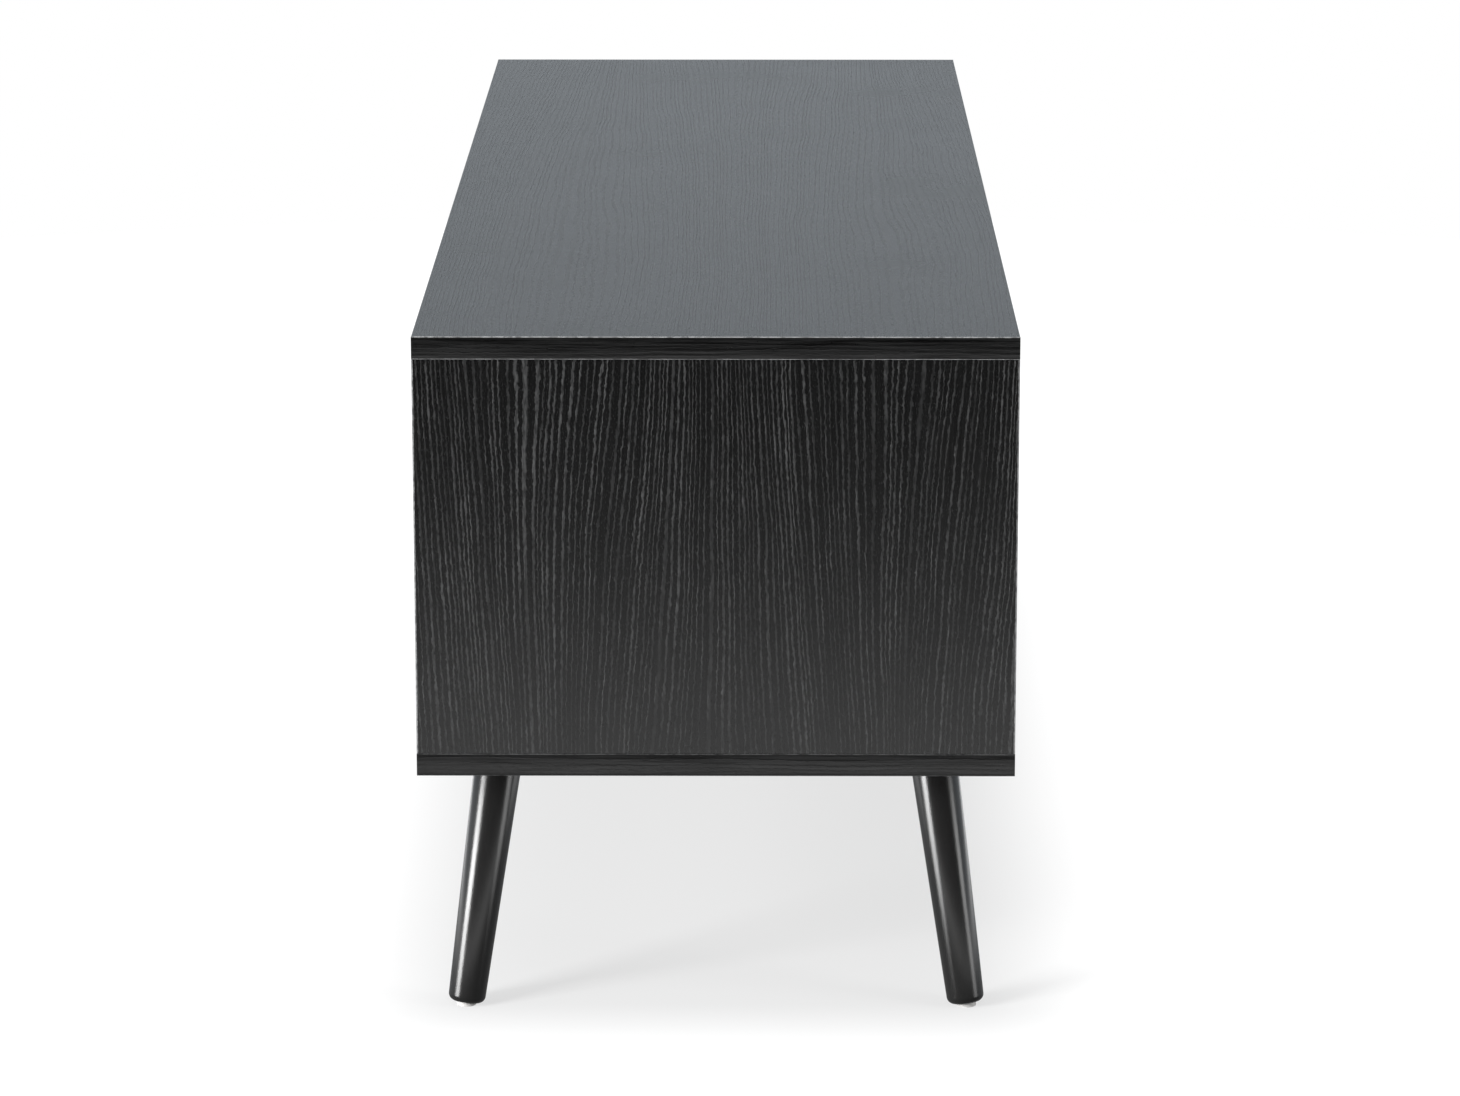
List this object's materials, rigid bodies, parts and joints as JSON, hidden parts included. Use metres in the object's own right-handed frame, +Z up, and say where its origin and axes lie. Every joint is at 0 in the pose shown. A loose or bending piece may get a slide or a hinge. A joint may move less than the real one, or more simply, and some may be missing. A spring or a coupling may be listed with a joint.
{
  "type": "dresser with drawers",
  "caption": "Long low black wood-grain dresser with inset drawers, notched finger pulls and splayed, tapered round legs.",
  "frame": {"origin": "on the floor, under the middle of the dresser's outline", "axes": "+X along the dresser, to the right as seen from the front; +Y to the back; +Z up. The drawers open towards -Y."},
  "size_m": [1.2, 0.39, 0.458],
  "materials": {
    "board": "black wood-grain melamine, embossed, satin",
    "leg": "black satin lacquer on turned wood",
    "back_sheet": "black lacquered hardboard, matt",
    "drawer_foil": "grey linen-look foil on particle board, matt",
    "runner": "white epoxy-coated steel, satin",
    "plate": "black powder-coated steel, satin",
    "bolt": "zinc-plated steel",
    "pad": "pale grey felt"
  },
  "bodies": {
    "carcass": {"top_panel": "board", "bottom_panel": "board", "side_panel_left": "board", "side_panel_right": "board", "centre_divider": "board", "back_panel_left": "back_sheet", "back_panel_right": "back_sheet", "leg_rear_right": "leg", "leg_plate_rear_right": "plate", "leg_bolt_rear_right": "bolt", "foot_pad_rear_right": "pad", "leg_rear_left": "leg", "leg_plate_rear_left": "plate", "leg_bolt_rear_left": "bolt", "foot_pad_rear_left": "pad", "leg_front_left": "leg", "leg_plate_front_left": "plate", "leg_bolt_front_left": "bolt", "foot_pad_front_left": "pad", "leg_front_right": "leg", "leg_plate_front_right": "plate", "leg_bolt_front_right": "bolt", "foot_pad_front_right": "pad", "lower_left_runner_channel_left": "runner", "lower_left_runner_channel_right": "runner", "lower_right_runner_channel_left": "runner", "lower_right_runner_channel_right": "runner", "upper_left_runner_channel_left": "runner", "upper_left_runner_channel_right": "runner", "upper_right_runner_channel_left": "runner", "upper_right_runner_channel_right": "runner"},
    "drawer_lower_left": {"lower_left_front": "board", "lower_left_box_side_left": "drawer_foil", "lower_left_box_side_right": "drawer_foil", "lower_left_box_back": "drawer_foil", "lower_left_bottom_sheet": "drawer_foil", "lower_left_runner_rail_left": "runner", "lower_left_runner_rail_right": "runner"},
    "drawer_lower_right": {"lower_right_front": "board", "lower_right_box_side_left": "drawer_foil", "lower_right_box_side_right": "drawer_foil", "lower_right_box_back": "drawer_foil", "lower_right_bottom_sheet": "drawer_foil", "lower_right_runner_rail_left": "runner", "lower_right_runner_rail_right": "runner"},
    "drawer_upper_left": {"upper_left_front": "board", "upper_left_box_side_left": "drawer_foil", "upper_left_box_side_right": "drawer_foil", "upper_left_box_back": "drawer_foil", "upper_left_bottom_sheet": "drawer_foil", "upper_left_runner_rail_left": "runner", "upper_left_runner_rail_right": "runner"},
    "drawer_upper_right": {"upper_right_front": "board", "upper_right_box_side_left": "drawer_foil", "upper_right_box_side_right": "drawer_foil", "upper_right_box_back": "drawer_foil", "upper_right_bottom_sheet": "drawer_foil", "upper_right_runner_rail_left": "runner", "upper_right_runner_rail_right": "runner"}
  },
  "joints": [
    {"name": "lower_left_slide", "type": "slide", "parent": "carcass", "child": "drawer_lower_left", "axis": [0, -1, 0], "range_m": [0, 0.225]},
    {"name": "lower_right_slide", "type": "slide", "parent": "carcass", "child": "drawer_lower_right", "axis": [0, -1, 0], "range_m": [0, 0.225]},
    {"name": "upper_left_slide", "type": "slide", "parent": "carcass", "child": "drawer_upper_left", "axis": [0, -1, 0], "range_m": [0, 0.225]},
    {"name": "upper_right_slide", "type": "slide", "parent": "carcass", "child": "drawer_upper_right", "axis": [0, -1, 0], "range_m": [0, 0.225]}
  ]
}
